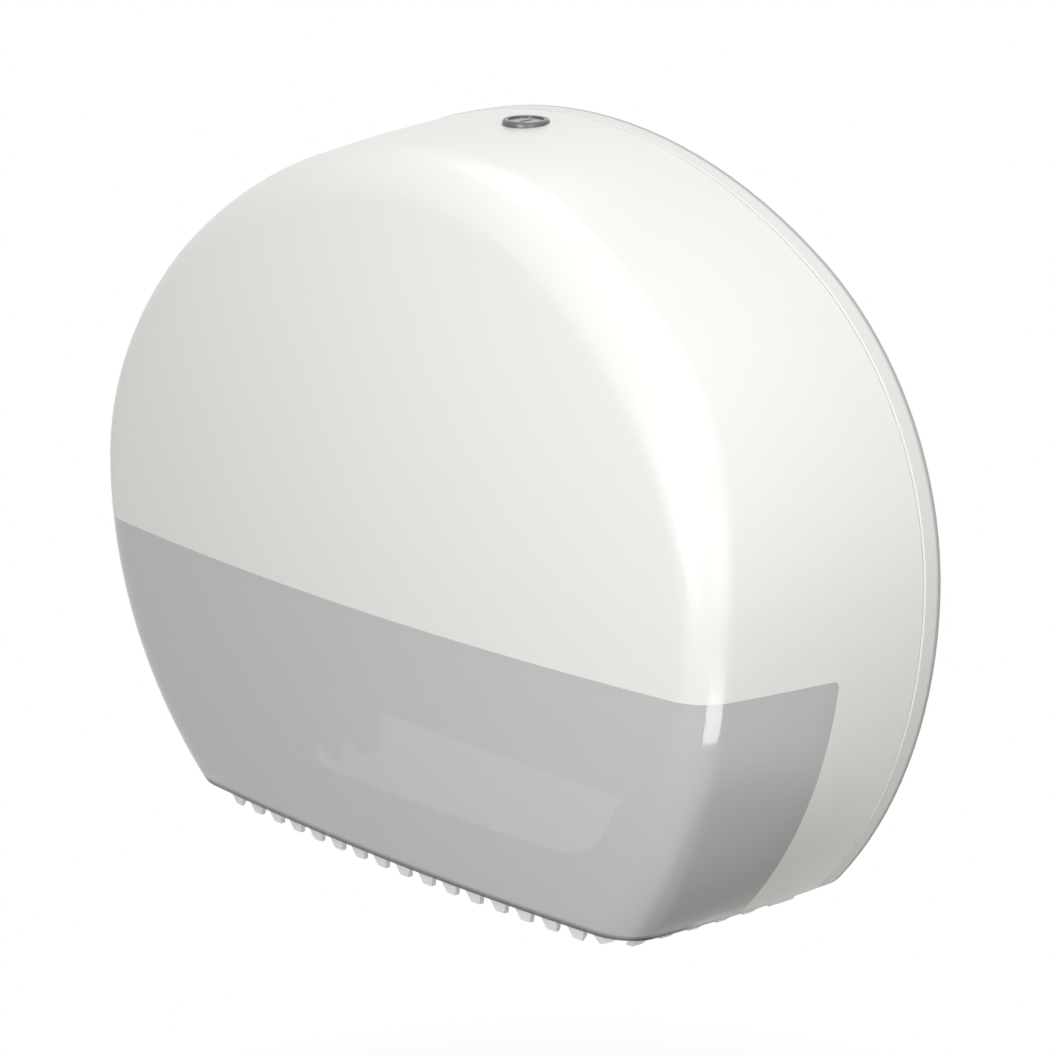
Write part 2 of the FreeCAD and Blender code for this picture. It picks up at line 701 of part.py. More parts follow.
def tray_top_cutter():
    """Everything above the tray's front lip, which rises to the cheeks through two equal tangent arcs."""
    body = add_body("tray_top")
    sketch = add_sketch(body, "tray_top_profile", "XZ_Plane")
    low = value("tray_front_height")
    high = value("tray_side_height")
    start = value(TRAY_FLAT_HALF)
    end = value(TRAY_SHOULDER_HALF)
    side = value("cover_half_width + overrun")
    head = value("cover_height + overrun")
    run = (end - start) / 2
    rise = (high - low) / 2
    radius = (run ** 2 + rise ** 2) / (2 * rise)
    middle = Vector(start + run, low + rise)

    def flip(point):
        return Vector(-point.x, point.y)

    valley = Vector(start, low + radius)
    hill = Vector(end, high - radius)
    foot = Vector(start, low)
    brow = Vector(end, high)
    sketch.addGeometry([
        Part.LineSegment(flip(foot), foot),
        arc_between(valley, foot, middle),
        arc_between(hill, brow, middle),
        Part.LineSegment(brow, Vector(side, high)),
        Part.LineSegment(Vector(side, high), Vector(side, head)),
        Part.LineSegment(Vector(side, head), Vector(-side, head)),
        Part.LineSegment(Vector(-side, head), Vector(-side, high)),
        Part.LineSegment(Vector(-side, high), flip(brow)),
        arc_between(flip(hill), flip(middle), flip(brow)),
        arc_between(flip(valley), flip(middle), flip(foot)),
    ])
    tangents = ((0, 2, 1, 1), (1, 2, 2, 2), (2, 1, 3, 1), (7, 2, 8, 2), (8, 1, 9, 1), (9, 2, 0, 1))
    for tangent in tangents:
        sketch.addConstraint(Sketcher.Constraint("Tangent", *tangent))
    for k in range(3, 7):
        sketch.addConstraint(Sketcher.Constraint("Coincident", k, 2, k + 1, 1))
    sketch.addConstraint(Sketcher.Constraint("Equal", 1, 2))
    sketch.addConstraint(Sketcher.Constraint("Equal", 8, 9))
    reach = "(cover_half_width + overrun)"
    top = "(cover_height + overrun)"
    pins = (
        (0, 1, f"-{TRAY_FLAT_HALF}", "tray_front_height"),
        (0, 2, TRAY_FLAT_HALF, "tray_front_height"),
        (3, 1, TRAY_SHOULDER_HALF, "tray_side_height"),
        (4, 1, reach, "tray_side_height"),
        (5, 1, reach, top),
        (6, 1, f"-{reach}", top),
        (7, 1, f"-{reach}", "tray_side_height"),
        (7, 2, f"-{TRAY_SHOULDER_HALF}", "tray_side_height"),
    )
    for geometry, point, across, along in pins:
        pin_point(sketch, geometry, point, across, along)
    add_pad(body, "tray_top_slab", sketch, "cover_depth + overrun")
    return body


def tooth_gaps(row):
    """The gaps between the teeth of the front row, or of both side rows at once."""
    body = add_body(f"tooth_gaps_{row}")
    front = row == "front"
    plane = "XZ_Plane" if front else "YZ_Plane"
    pitch = TOOTH_PITCH if front else "side_tooth_pitch"
    first = (f"(tooth_row_shift - {TOOTH_PITCH} * (front_gap_count - 1) / 2)" if front
             else "(side_gap_setback - cover_depth)")
    sketch = add_sketch(body, f"tooth_gap_{row}", plane)
    mouth = "(tooth_gap_mouth / 2)"
    crown = "(tooth_gap_crown / 2)"
    skirt = "(0 - tooth_drop - overrun)"
    draw_polygon(sketch, [(f"{first} - {mouth}", skirt), (f"{first} + {mouth}", skirt),
                          (f"{first} + {mouth}", "-tooth_drop"), (f"{first} + {crown}", "-tooth_root"),
                          (f"{first} - {crown}", "-tooth_root"), (f"{first} - {mouth}", "-tooth_drop")])
    if front:
        cutter = add_pad(body, f"tooth_gap_{row}_cutter", sketch, "cover_depth + overrun")
    else:
        cutter = add_pad(body, f"tooth_gap_{row}_cutter", sketch, "2 * (cover_half_width + overrun)",
                         symmetric=True)
    doc.recompute()
    rows = body.newObject("PartDesign::LinearPattern", f"tooth_gap_{row}_row")
    rows.Originals = [cutter]
    rows.Direction = (sketch, ["H_Axis"])
    count = "front_gap_count" if front else "side_gap_count"
    rows.setExpression("Length", bound(f"{pitch} * ({count} - 1)"))
    rows.setExpression("Occurrences", bound(count))
    body.Tip = rows
    if not front:
        return body
    guard = add_block("front_gap_guard",
                      ("-cover_half_width", "side_gap_setback - cover_depth",
                       "-tooth_drop - 2 * overrun"),
                      ("2 * cover_half_width", "cover_depth - side_gap_setback + overrun",
                       "2 * tooth_drop + 2 * overrun"))
    return cut_away("front_tooth_gaps", body, guard)


def footed_slab(label, offset, inset, length, foot):
    """Slab with the cover's rear outline drawn in by an inset, cut off level and rounded at its foot."""
    body = add_body(label)
    outline = arch_sketch(body, f"{label}_outline", offset, inset, "0")
    add_pad(body, f"{label}_slab", outline, length)
    side = "(cover_half_width + overrun)"
    below = add_sketch(body, f"{label}_below", "XZ_Plane")
    draw_rectangle(below, f"-{side}", "-foot_drop - overrun", side, foot)
    through = f"2 * ({offset} + {length} + overrun)"
    pocket = add_pocket(body, f"{label}_level", below, through, symmetric=True)
    doc.recompute()
    level = value(foot)
    near = value("running_gap")

    def is_corner(edge):
        return abs(edge.CenterOfMass.z - level) < near and len(edge.Vertexes) == 2 and (
            abs(edge.Vertexes[0].X - edge.Vertexes[1].X) < near)

    corners = body.newObject("PartDesign::Fillet", f"{label}_corners")
    corners.Base = (pocket, edge_names(pocket.Shape, is_corner))
    corners.setExpression("Radius", bound(f"foot_corner_radius - {inset}"))
    return body, corners


def add_back_plate():
    """Flat moulded plate with a rim, raised pads, ribs, wall slots and two hinge ears."""
    slab, corners = footed_slab("plate", "0", "0", "rim_depth", "0")
    doc.recompute()
    front = min(corners.Shape.Faces, key=lambda item: item.CenterOfMass.y)
    rim = edge_names(corners.Shape, lambda edge: any(edge.isSame(side) for side in front.Edges))
    rounding = slab.newObject("PartDesign::Fillet", "plate_rim_edge")
    rounding.Base = (corners, rim)
    rounding.setExpression("Radius", bound("rim_edge_radius"))
    recess = footed_slab("recess", "plate_wall", "rim_wall", "rim_depth", "rim_wall")[0]
    dish = cut_away("plate_dish", slab, recess)

    pads = add_body("plate_pads")
    outline = add_sketch(pads, "plate_pads_outline", "XZ_Plane", "plate_wall")
    draw_circle(outline, "main_across", "main_height", "spindle_pad_radius")
    draw_circle(outline, STUB_ACROSS, "stub_height", "spindle_pad_radius")
    draw_rectangle(outline, "-keeper_plate_half", f"{KEEPER_HEAD} - keeper_plate_height",
                   "keeper_plate_half", KEEPER_HEAD)
    slot_reach = "(slot_length / 2 + slot_pad_margin)"
    slot_rise = "(slot_half_width + slot_pad_margin)"
    for across, up in slot_places():
        draw_rectangle(outline, f"{across} - {slot_reach}", f"{up} - {slot_rise}",
                       f"{across} + {slot_reach}", f"{up} + {slot_rise}")
    add_pad(pads, "plate_pads_slab", outline, "pad_height")

    fittings = [pads]
    for place in (-3, 0, 1):
        low = (f"{place} * rib_pitch_share * cover_half_width - rib_wall / 2",
               "-plate_wall - rib_height", "rib_foot_share * cover_height")
        sides = ("rib_wall", "rib_height", "(rib_head_share - rib_foot_share) * cover_height")
        fittings.append(add_block(f"plate_rib_{place + 3}", low, sides))
    pin_holes = []
    for side, sign, direction in SIDES:
        start = (f"{sign}{EAR_INNER}", "-hinge_depth", "hinge_height")
        neck_side = EAR_INNER if sign == "" else f"-{EAR_INNER} - hinge_ear_width"
        low = (neck_side, "-hinge_depth", "hinge_height - hinge_knuckle_radius")
        sides = ("hinge_ear_width", "hinge_depth - plate_wall / 2", "2 * hinge_knuckle_radius")
        fittings.append(add_rod(f"ear_{side}", start, "hinge_knuckle_radius", "hinge_ear_width",
                                direction))
        fittings.append(add_block(f"ear_neck_{side}", low, sides))
        pin_holes.append(add_rod(f"ear_hole_{side}", start, "hinge_pin_radius", "hinge_ear_width",
                                 direction))
    solid = join("plate_solid", [dish] + fittings)

    slots = add_body("plate_slots")
    slot_outline = add_sketch(slots, "plate_slot_outline", "XZ_Plane")
    for across, up in slot_places():
        draw_slot(slot_outline, across, up, "slot_half_width", "slot_length")
    add_pad(slots, "plate_slot_cutter", slot_outline, "plate_wall + pad_height + overrun")
    exit_half = f"({BAY_INNER} + tray_wall + face_gap)"
    exit_gap = add_block("plate_exit", (f"-{exit_half}", "-rim_depth - overrun", "-overrun"),
                         (f"2 * {exit_half}", "rim_depth + 2 * overrun", "exit_height + overrun"))
    threads = []
    for label, depth, length, places in SCREW_GROUPS:
        for k, (across, height) in enumerate(places):
            start = (across, f"-({depth}) + {length}", height)
            threads.append(add_rod(f"plate_{label}_{k}", start, "screw_radius", length, Vector(0, -1, 0)))
    cuts = join("plate_cuts", [slots, exit_gap] + pin_holes + threads)
    finish("back_plate", cut_away("back_plate", solid, cuts))


def slot_places():
    """Middles of the four wall slots, as heights above the cover's lower edge."""
    return [(f"({across} * slot_spacing_across / 2)", f"(origin_height + ({up}) * slot_spacing_up / 2)")
            for across in (-1, 1) for up in (-1, 1)]


def spindle_screw_places(across, height):
    places = []
    for k in range(SPINDLE_SCREWS):
        bearing = f"(90deg + {k} * 360deg / {SPINDLE_SCREWS})"
        places.append((f"{across} + spindle_screw_circle * cos{bearing}",
                       f"{height} + spindle_screw_circle * sin{bearing}"))
    return places


SIDES = (("right", "", Vector(1, 0, 0)), ("left", "-", Vector(-1, 0, 0)))
SPINDLE_SCREWS = 3
KEEPER_SCREW_HEIGHT = f"({KEEPER_ARM_FOOT} - keeper_plate_height / 2)"
TRAY_SCREW_FACE = f"({TRAY_REAR} + tray_wall)"
SCREW_GROUPS = (
    ("main_thread", SPINDLE_FACE, "screw_length", spindle_screw_places("main_across", "main_height")),
    ("stub_thread", SPINDLE_FACE, "screw_length", spindle_screw_places(STUB_ACROSS, "stub_height")),
    ("tray_thread", TRAY_SCREW_FACE, "tray_screw_length",
     [(across, "tray_screw_height") for across in tray_screw_places()]),
    ("keeper_thread", KEEPER_FACE, "screw_length",
     [("-keeper_screw_half", KEEPER_SCREW_HEIGHT), ("keeper_screw_half", KEEPER_SCREW_HEIGHT)]),
)


def screw_body(label, length):
    """Pan-head screw with a cross recess; its seat is at height zero and its shank runs below."""
    body = turned_body(label, [
        ("0", f"-{length}"), ("screw_radius", f"-{length}"), ("screw_radius", "0"),
        ("screw_head_radius", "0"), ("screw_head_radius", "screw_head_height - screw_head_edge"),
        ("screw_head_radius - screw_head_edge", "screw_head_height"), ("0", "screw_head_height")])
    recess = add_sketch(body, f"{label}_recess_outline", "XY_Plane", "screw_head_height")
    half = "(screw_slot_width / 2)"
    reach = "(screw_head_radius - 2 * screw_head_edge)"
    cross = []
    for across, along in ((1, 1), (-1, 1), (-1, -1), (1, -1)):
        near = (f"{across} * {half}", f"{along} * {half}")
        wide = (f"{across} * {reach}", near[1])
        tall = (near[0], f"{along} * {reach}")
        cross += [wide, near, tall] if across * along > 0 else [tall, near, wide]
    draw_polygon(recess, cross)
    add_pocket(body, f"{label}_recess", recess, "screw_slot_depth")
    return body


def add_screws():
    """Every screw group shares one of two screws: a short one for the tray and a long one elsewhere."""
    long_screw = screw_body("long_screw", "screw_length")
    short_screw = screw_body("short_screw", "tray_screw_length")
    nodes = ("main_spindle_screws", "stub_spindle_screws", "tray_screws", "keeper_screws")
    for node, (label, depth, length, places) in zip(nodes, SCREW_GROUPS):
        source = short_screw if node == "tray_screws" else long_screw
        repeat_at(node, source, [(across, depth, height) for across, height in places], FORWARD)


def add_roll_holder(name, across, height):
    """Fixed spindle, brake washer, free-turning hub and end cap of one roll."""
    reach = f"(spindle_flange_wall + brake_washer_wall + {HUB_LENGTH} + 2 * face_gap)"
    spindle = turned_body(f"{name}_spindle_turned", [
        ("0", "0"), ("spindle_flange_radius", "0"), ("spindle_flange_radius", "spindle_flange_wall"),
        ("spindle_radius", "spindle_flange_wall"), ("spindle_radius", reach), ("spigot_radius", reach),
        ("spigot_radius", f"{reach} + spigot_length"), ("0", f"{reach} + spigot_length")])
    holes = [add_rod(f"{name}_spindle_hole_{k}", (f"{x} - {across}", f"{z} - {height}", "-overrun"),
                     "screw_radius + running_gap", "spindle_flange_wall + 2 * overrun", Vector(0, 0, 1))
             for k, (x, z) in enumerate(spindle_screw_places(across, height))]
    drilled = cut_away(f"{name}_spindle", spindle, join(f"{name}_spindle_holes", holes))
    finish(f"{name}_spindle", drilled, across, SPINDLE_BASE, height, FORWARD)

    washer = turned_body(f"{name}_washer", [
        ("spindle_radius + running_gap", "0"), ("brake_washer_radius", "0"),
        ("brake_washer_radius", "brake_washer_wall"),
        ("spindle_radius + running_gap", "brake_washer_wall")])
    finish(f"{name}_washer", washer, across, SPINDLE_FACE, height, FORWARD)

    hub = turned_body(f"{name}_hub", [
        ("spindle_radius + running_gap", "0"), (HUB_SLEEVE, "0"), (HUB_SLEEVE, f"{HUB_LENGTH} - hub_web"),
        ("hub_radius - hub_wall", f"{HUB_LENGTH} - hub_web"), ("hub_radius - hub_wall", "0"),
        ("hub_flange_radius", "0"), ("hub_flange_radius", "hub_flange_wall"),
        ("hub_radius", "hub_flange_wall"), ("hub_radius", f"{HUB_LENGTH} - hub_nose"),
        ("hub_radius - hub_nose", HUB_LENGTH),
        ("spindle_radius + running_gap", HUB_LENGTH)])
    rib_outline = add_sketch(hub, f"{name}_hub_rib_outline", "XZ_Plane")
    draw_rectangle(rib_outline, f"{HUB_SLEEVE} - hub_sleeve_wall / 2", "0",
                   "hub_radius - hub_wall / 2", f"{HUB_LENGTH} - hub_web / 2 - hub_nose")
    rib = add_pad(hub, f"{name}_hub_rib", rib_outline, "hub_rib_wall", symmetric=True)
    doc.recompute()
    ribs = hub.newObject("PartDesign::PolarPattern", f"{name}_hub_ribs")
    ribs.Originals = [rib]
    ribs.Axis = (rib_outline, ["V_Axis"])
    ribs.Angle = 360
    ribs.setExpression("Occurrences", bound("hub_rib_count"))
    hub.Tip = ribs
    finish(f"{name}_hub", hub, across, f"{SPINDLE_FACE} + brake_washer_wall + face_gap", height, FORWARD)

    cap = turned_body(f"{name}_cap", [
        ("spigot_radius", "0"), ("cap_radius", "0"), ("cap_radius", "cap_height - cap_edge"),
        ("cap_radius - cap_edge", "cap_height"), ("0", "cap_height"), ("0", "spigot_length"),
        ("spigot_radius", "spigot_length")])
    finish(f"{name}_cap", cap, across, f"{SPINDLE_BASE} + {reach}", height, FORWARD)


def add_hinge_pins():
    """Two steel pins pressed into the back plate's ears, on which the cover's knuckles turn."""
    pins = [add_rod(f"pin_{side}", (f"{sign}{EAR_INNER}", "-hinge_depth", "hinge_height"),
                    "hinge_pin_radius", "hinge_pin_length", direction) for side, sign, direction in SIDES]
    group = doc.addObject("Part::Compound", "hinge_pins")
    group.Links = pins
    finish("hinge_pins", group)


def add_lock():
    """Cam lock in the cover's crown: bezelled barrel, nut, turning plug, hook and its screw."""
    bezel_top = f"({LOCK_SEAT} + bezel_height)"
    shaft_bore = "(plug_shaft_radius + running_gap)"
    plug_bore = "(plug_radius + running_gap)"
    shoulder = f"({PLUG_SHOULDER} - running_gap)"
    barrel = turned_body("lock_barrel", [
        (shaft_bore, BARREL_FOOT), ("barrel_radius", BARREL_FOOT), ("barrel_radius", LOCK_SEAT),
        ("bezel_radius", LOCK_SEAT), ("bezel_radius", f"{bezel_top} - bezel_edge"),
        ("bezel_radius - bezel_edge", bezel_top), (plug_bore, bezel_top), (plug_bore, shoulder),
        (shaft_bore, shoulder)])
    finish("lock_barrel", barrel, "0", "lock_depth", "0")

    blank = doc.addObject("Part::Prism", "nut_blank")
    blank.Polygon = 6
    blank.setExpression("Circumradius", bound("nut_radius"))
    blank.setExpression("Height", bound("nut_height"))
    nut_bore = add_rod("nut_bore", ("0", "0", "-overrun"), "barrel_radius", "nut_height + 2 * overrun",
                       Vector(0, 0, 1))
    nut = cut_away("lock_nut", blank, nut_bore)
    finish("lock_nut", nut, "0", "lock_depth", f"{LOCK_BOSS_FOOT} - nut_height")

    hook_head = f"({HOOK_FOOT} + hook_height)"
    plug_top = f"({bezel_top} - plug_recess)"
    plug = turned_body("lock_plug", [
        ("0", f"{HOOK_FOOT} + screw_length"), ("screw_radius", f"{HOOK_FOOT} + screw_length"),
        ("screw_radius", HOOK_FOOT), ("plug_tip_radius", HOOK_FOOT), ("plug_tip_radius", hook_head),
        ("plug_shaft_radius", hook_head), ("plug_shaft_radius", PLUG_SHOULDER),
        ("plug_radius", PLUG_SHOULDER), ("plug_radius", plug_top), ("0", plug_top)])
    key_outline = add_sketch(plug, "key_slot_outline", "XY_Plane", plug_top)
    draw_rectangle(key_outline, "-key_slot_width / 2", "-key_slot_length / 2",
                   "key_slot_width / 2", "key_slot_length / 2")
    add_pocket(plug, "key_slot", key_outline, "key_slot_depth")
    finish("lock_plug", plug, "0", "lock_depth", "0")

    hook = add_body("lock_hook")
    eye = add_sketch(hook, "hook_eye_outline", "XY_Plane")
    draw_circle(eye, "0", "0", "hook_eye_radius")
    add_pad(hook, "hook_eye", eye, "hook_height")
    arm = add_sketch(hook, "hook_arm_outline", "XY_Plane")
    inner = "(0 - hook_reach + hook_finger_width)"
    draw_polygon(arm, [("0", "-hook_arm_half"), ("0", "hook_arm_half"), (inner, "hook_arm_half"),
                       (inner, "hook_finger_tip"), ("-hook_reach", "hook_finger_tip"),
                       ("-hook_reach", "-hook_arm_half")])
    add_pad(hook, "hook_arm", arm, "hook_height")
    seat = add_sketch(hook, "hook_hole_outline", "XY_Plane", "hook_height")
    draw_circle(seat, "0", "0", "plug_tip_radius")
    add_pocket(hook, "hook_hole", seat, "hook_height + overrun")
    finish("lock_hook", hook, "0", "lock_depth", HOOK_FOOT)

    screw = turned_body("lock_screw", [
        ("0", "-screw_length"), ("screw_radius", "-screw_length"), ("screw_radius", "0"),
        ("hook_screw_head_radius", "0"),
        ("hook_screw_head_radius", "screw_head_height - screw_head_edge"),
        ("hook_screw_head_radius - screw_head_edge", "screw_head_height"), ("0", "screw_head_height")])
    finish("lock_screw", screw, "0", "lock_depth", HOOK_FOOT, Rotation(Vector(1, 0, 0), 180))


def add_keeper():
    """Bracket screwed to the back plate; its upright post is what the lock's hook reaches behind."""
    base = add_block("keeper_base",
                     ("-keeper_plate_half", f"-{KEEPER_FACE}", f"{KEEPER_HEAD} - keeper_plate_height"),
                     ("2 * keeper_plate_half", "keeper_plate_wall", "keeper_plate_height"))
    arm = add_block("keeper_arm", ("-keeper_post_start", "-keeper_post_front", KEEPER_ARM_FOOT),
                    ("2 * keeper_post_start + keeper_post_width", f"keeper_post_front - {SPINDLE_BASE}",
                     "keeper_arm_wall"))
    post = add_block("keeper_post", ("keeper_post_start", "-keeper_post_front", KEEPER_ARM_FOOT),
                     ("keeper_post_width", "keeper_post_depth",
                      "keeper_arm_drop + keeper_post_rise"))
    holes = [add_rod(f"keeper_hole_{side}", (f"{sign}keeper_screw_half", "0", KEEPER_SCREW_HEIGHT),
                     "screw_radius + running_gap", f"{KEEPER_FACE} + overrun", Vector(0, -1, 0))
             for side, sign, direction in SIDES]
    solid = join("keeper_solid", [base, arm, post])
    finish("keeper", cut_away("keeper", solid, join("keeper_holes", holes)))


def build():
    outer = arch_form("cover_outer", "0")
    hollow = arch_form("cover_hollow", "cover_wall")
    add_cover_and_window(outer, hollow)
    add_tray()
    add_back_plate()
    add_hinge_pins()
    add_roll_holder("main", "main_across", "main_height")
    add_roll_holder("stub", STUB_ACROSS, "stub_height")
    add_lock()
    add_keeper()
    add_screws()
    doc.recompute()


build()
faults = [item.Label for item in doc.Objects if {"Invalid", "Error"} & set(item.State)]
faults += [node for node, item in parts.items() if item.Shape.isNull() or not item.Shape.isValid()]
if faults:
    raise RuntimeError(f"these objects failed: {faults}")
os.makedirs("parts", exist_ok=True)
for node, item in parts.items():
    item.Shape.exportStep(f"parts/{node}.step")
print(f"{len(parts)} parts written")
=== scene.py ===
import math

import bpy
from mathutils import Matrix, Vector

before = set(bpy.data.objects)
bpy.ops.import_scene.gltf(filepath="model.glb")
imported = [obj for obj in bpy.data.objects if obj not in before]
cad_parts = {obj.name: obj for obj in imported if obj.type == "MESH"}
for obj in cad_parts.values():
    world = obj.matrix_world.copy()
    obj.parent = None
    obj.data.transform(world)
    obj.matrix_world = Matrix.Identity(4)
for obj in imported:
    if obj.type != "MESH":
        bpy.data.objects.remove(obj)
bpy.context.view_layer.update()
bpy.ops.object.select_all(action="DESELECT")


# Cover shell: one glossy injection moulding in white ABS, domed in front, with the lock boss
# in its crown and two hinge knuckles in its lower corners. Seen closest, so its finish carries
# the faint unevenness and the soft gloss of a thick moulding.

WELD_DISTANCE = 0.000002
CREASE_ANGLE = math.radians(32)


def finish_piece(node, material):
    """Shades a CAD node smooth up to its real creases and gives all its slots one material."""
    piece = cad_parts[node]
    bpy.ops.object.select_all(action="DESELECT")
    piece.select_set(True)
    bpy.context.view_layer.objects.active = piece
    bpy.ops.object.shade_smooth()
    weld = piece.modifiers.new("weld", "WELD")
    weld.merge_threshold = WELD_DISTANCE
    crease = piece.modifiers.new("crease", "EDGE_SPLIT")
    crease.split_angle = CREASE_ANGLE
    even = piece.modifiers.new("even_normals", "WEIGHTED_NORMAL")
    even.mode = "FACE_AREA_WITH_ANGLE"
    even.keep_sharp = True
    piece.select_set(False)
    if not piece.data.materials:
        piece.data.materials.append(material)
    for index in range(len(piece.data.materials)):
        piece.data.materials[index] = material


def start_material(name):
    """An empty material, with its Principled shader and its Object coordinates."""
    material = bpy.data.materials.new(name)
    material.use_nodes = True
    shader = material.node_tree.nodes["Principled BSDF"]
    place = material.node_tree.nodes.new("ShaderNodeTexCoord")
    place.name = "place"
    return material, shader, place.outputs["Object"]


def work_out(tree, operation, *values):
    """The result of a Math node, whose inputs are other nodes' outputs or plain numbers."""
    node = tree.nodes.new("ShaderNodeMath")
    node.operation = operation
    for socket, value in zip(node.inputs, values):
        if isinstance(value, bpy.types.NodeSocket):
            tree.links.new(value, socket)
        else:
            socket.default_value = value
    return node.outputs["Value"]


def add_noise(tree, place, detail):
    """A Noise Texture node over the given coordinates."""
    noise = tree.nodes.new("ShaderNodeTexNoise")
    noise.inputs["Detail"].default_value = detail
    tree.links.new(place, noise.inputs["Vector"])
    return noise


def add_bump(tree, height, distance):
    """A Bump node that raises a surface by at most the distance, in metres."""
    bump = tree.nodes.new("ShaderNodeBump")
    bump.inputs["Distance"].default_value = distance
    tree.links.new(height, bump.inputs["Height"])
    return bump


def moulded_skin_group():
    """Colour, roughness and normal of a moulded skin: faint mottling, uneven gloss, fine grain."""
    group = bpy.data.node_groups.new("moulded_skin", "ShaderNodeTree")
    new_socket = group.interface.new_socket
    for name, kind in (("Place", "Vector"), ("Colour", "Color"), ("Mottle", "Float"),
                       ("Roughness", "Float"), ("Grain", "Float"), ("Grain Scale", "Float")):
        new_socket(name, in_out="INPUT", socket_type="NodeSocket" + kind)
    for name, kind in (("Colour", "Color"), ("Roughness", "Float"), ("Normal", "Vector")):
        new_socket(name, in_out="OUTPUT", socket_type="NodeSocket" + kind)
    link = group.links.new
    given = group.nodes.new("NodeGroupInput").outputs
    result = group.nodes.new("NodeGroupOutput").inputs

    cloud = add_noise(group, given["Place"], detail=3)
    cloud.inputs["Scale"].default_value = 14
    centred = work_out(group, "SUBTRACT", cloud.outputs["Fac"], 0.5)
    mottle = work_out(group, "MULTIPLY", centred, given["Mottle"])
    tint = group.nodes.new("ShaderNodeVectorMath")
    tint.operation = "SCALE"
    link(given["Colour"], tint.inputs[0])
    link(work_out(group, "ADD", mottle, 1), tint.inputs["Scale"])
    link(tint.outputs[0], result["Colour"])
    link(work_out(group, "MULTIPLY_ADD", centred, 0.12, given["Roughness"]), result["Roughness"])

    grain = add_noise(group, given["Place"], detail=2)
    link(given["Grain Scale"], grain.inputs["Scale"])
    relief = add_bump(group, grain.outputs["Fac"], distance=0.00008)
    link(given["Grain"], relief.inputs["Strength"])
    link(relief.outputs["Normal"], result["Normal"])
    return group


moulded_skin = moulded_skin_group()


def moulded_material(name, colour, roughness, grain, grain_scale, mottle=0.03):
    """A plastic or plating whose colour, roughness and grain come from the moulded skin."""
    material, shader, place = start_material(name)
    link = material.node_tree.links.new
    skin = material.node_tree.nodes.new("ShaderNodeGroup")
    skin.name = "skin"
    skin.node_tree = moulded_skin
    skin.inputs["Colour"].default_value = (*colour, 1)
    skin.inputs["Roughness"].default_value = roughness
    skin.inputs["Grain"].default_value = grain
    skin.inputs["Grain Scale"].default_value = grain_scale
    skin.inputs["Mottle"].default_value = mottle
    link(place, skin.inputs["Place"])
    link(skin.outputs["Colour"], shader.inputs["Base Color"])
    link(skin.outputs["Roughness"], shader.inputs["Roughness"])
    link(skin.outputs["Normal"], shader.inputs["Normal"])
    shader.inputs["IOR"].default_value = 1.5
    return material


def shader_of(material):
    """A material's Principled shader."""
    return material.node_tree.nodes["Principled BSDF"]


white_abs = moulded_material("white_abs", colour=(0.803, 0.799, 0.770), roughness=0.32,
                             grain=0.05, grain_scale=700, mottle=0.02)
shader_of(white_abs).inputs["Coat Weight"].default_value = 0.06
shader_of(white_abs).inputs["Coat Roughness"].default_value = 0.2
finish_piece("cover_shell", white_abs)


# Window: smoke-grey translucent polycarbonate, moulded with the shell's own wall and let into
# its lower front, with a lap behind it. The tray shows through it faintly, and a band of
# painted shade darkens it along its foot.

WINDOW_FOOT_SHADE_START = 0.0035
WINDOW_FOOT_SHADE_END = 0.0006


def painted_shade_band_group():
    """Painted shade: turns a colour into a shade colour from Start to End along an axis, not past
    Stop.
    """
    group = bpy.data.node_groups.new("painted_shade_band", "ShaderNodeTree")
    new_socket = group.interface.new_socket
    for name in ("Along", "Start", "End", "Stop"):
        new_socket(name, in_out="INPUT", socket_type="NodeSocketFloat")
    for name in ("Colour", "Painted Shade Colour"):
        new_socket(name, in_out="INPUT", socket_type="NodeSocketColor")
    new_socket("Colour", in_out="OUTPUT", socket_type="NodeSocketColor")
    link = group.links.new
    given = group.nodes.new("NodeGroupInput").outputs
    result = group.nodes.new("NodeGroupOutput").inputs
    ramp = group.nodes.new("ShaderNodeMapRange")
    ramp.interpolation_type = "SMOOTHSTEP"
    link(given["Along"], ramp.inputs["Value"])
    link(given["Start"], ramp.inputs["From Min"])
    link(given["End"], ramp.inputs["From Max"])
    before = work_out(group, "LESS_THAN", given["Along"], given["Stop"])
    blend = group.nodes.new("ShaderNodeMix")
    blend.data_type = "RGBA"
    link(work_out(group, "MULTIPLY", ramp.outputs["Result"], before), blend.inputs["Factor"])
    link(given["Colour"], blend.inputs["A"])
    link(given["Painted Shade Colour"], blend.inputs["B"])
    link(blend.outputs["Result"], result["Colour"])
    return group


painted_shade_band = painted_shade_band_group()


def paint_shade_at_edge(material, axis, start, end, stop, painted_shade_colour):
    """Paints shade on a moulding: blends its colour into a shade colour along one of the object's
    axes.
    """
    nodes = material.node_tree.nodes
    link = material.node_tree.links.new
    split = nodes.new("ShaderNodeSeparateXYZ")
    link(nodes["place"].outputs["Object"], split.inputs["Vector"])
    band = nodes.new("ShaderNodeGroup")
    band.node_tree = painted_shade_band
    link(split.outputs[axis], band.inputs["Along"])
    band.inputs["Start"].default_value = start
    band.inputs["End"].default_value = end
    band.inputs["Stop"].default_value = stop
    band.inputs["Painted Shade Colour"].default_value = (*painted_shade_colour, 1)
    link(nodes["skin"].outputs["Colour"], band.inputs["Colour"])
    link(band.outputs["Colour"], shader_of(material).inputs["Base Color"])


window_smoke = moulded_material("window_smoke", colour=(0.60, 0.605, 0.61), roughness=0.1,
                                grain=0.02, grain_scale=700, mottle=0.02)
window_tree = window_smoke.node_tree

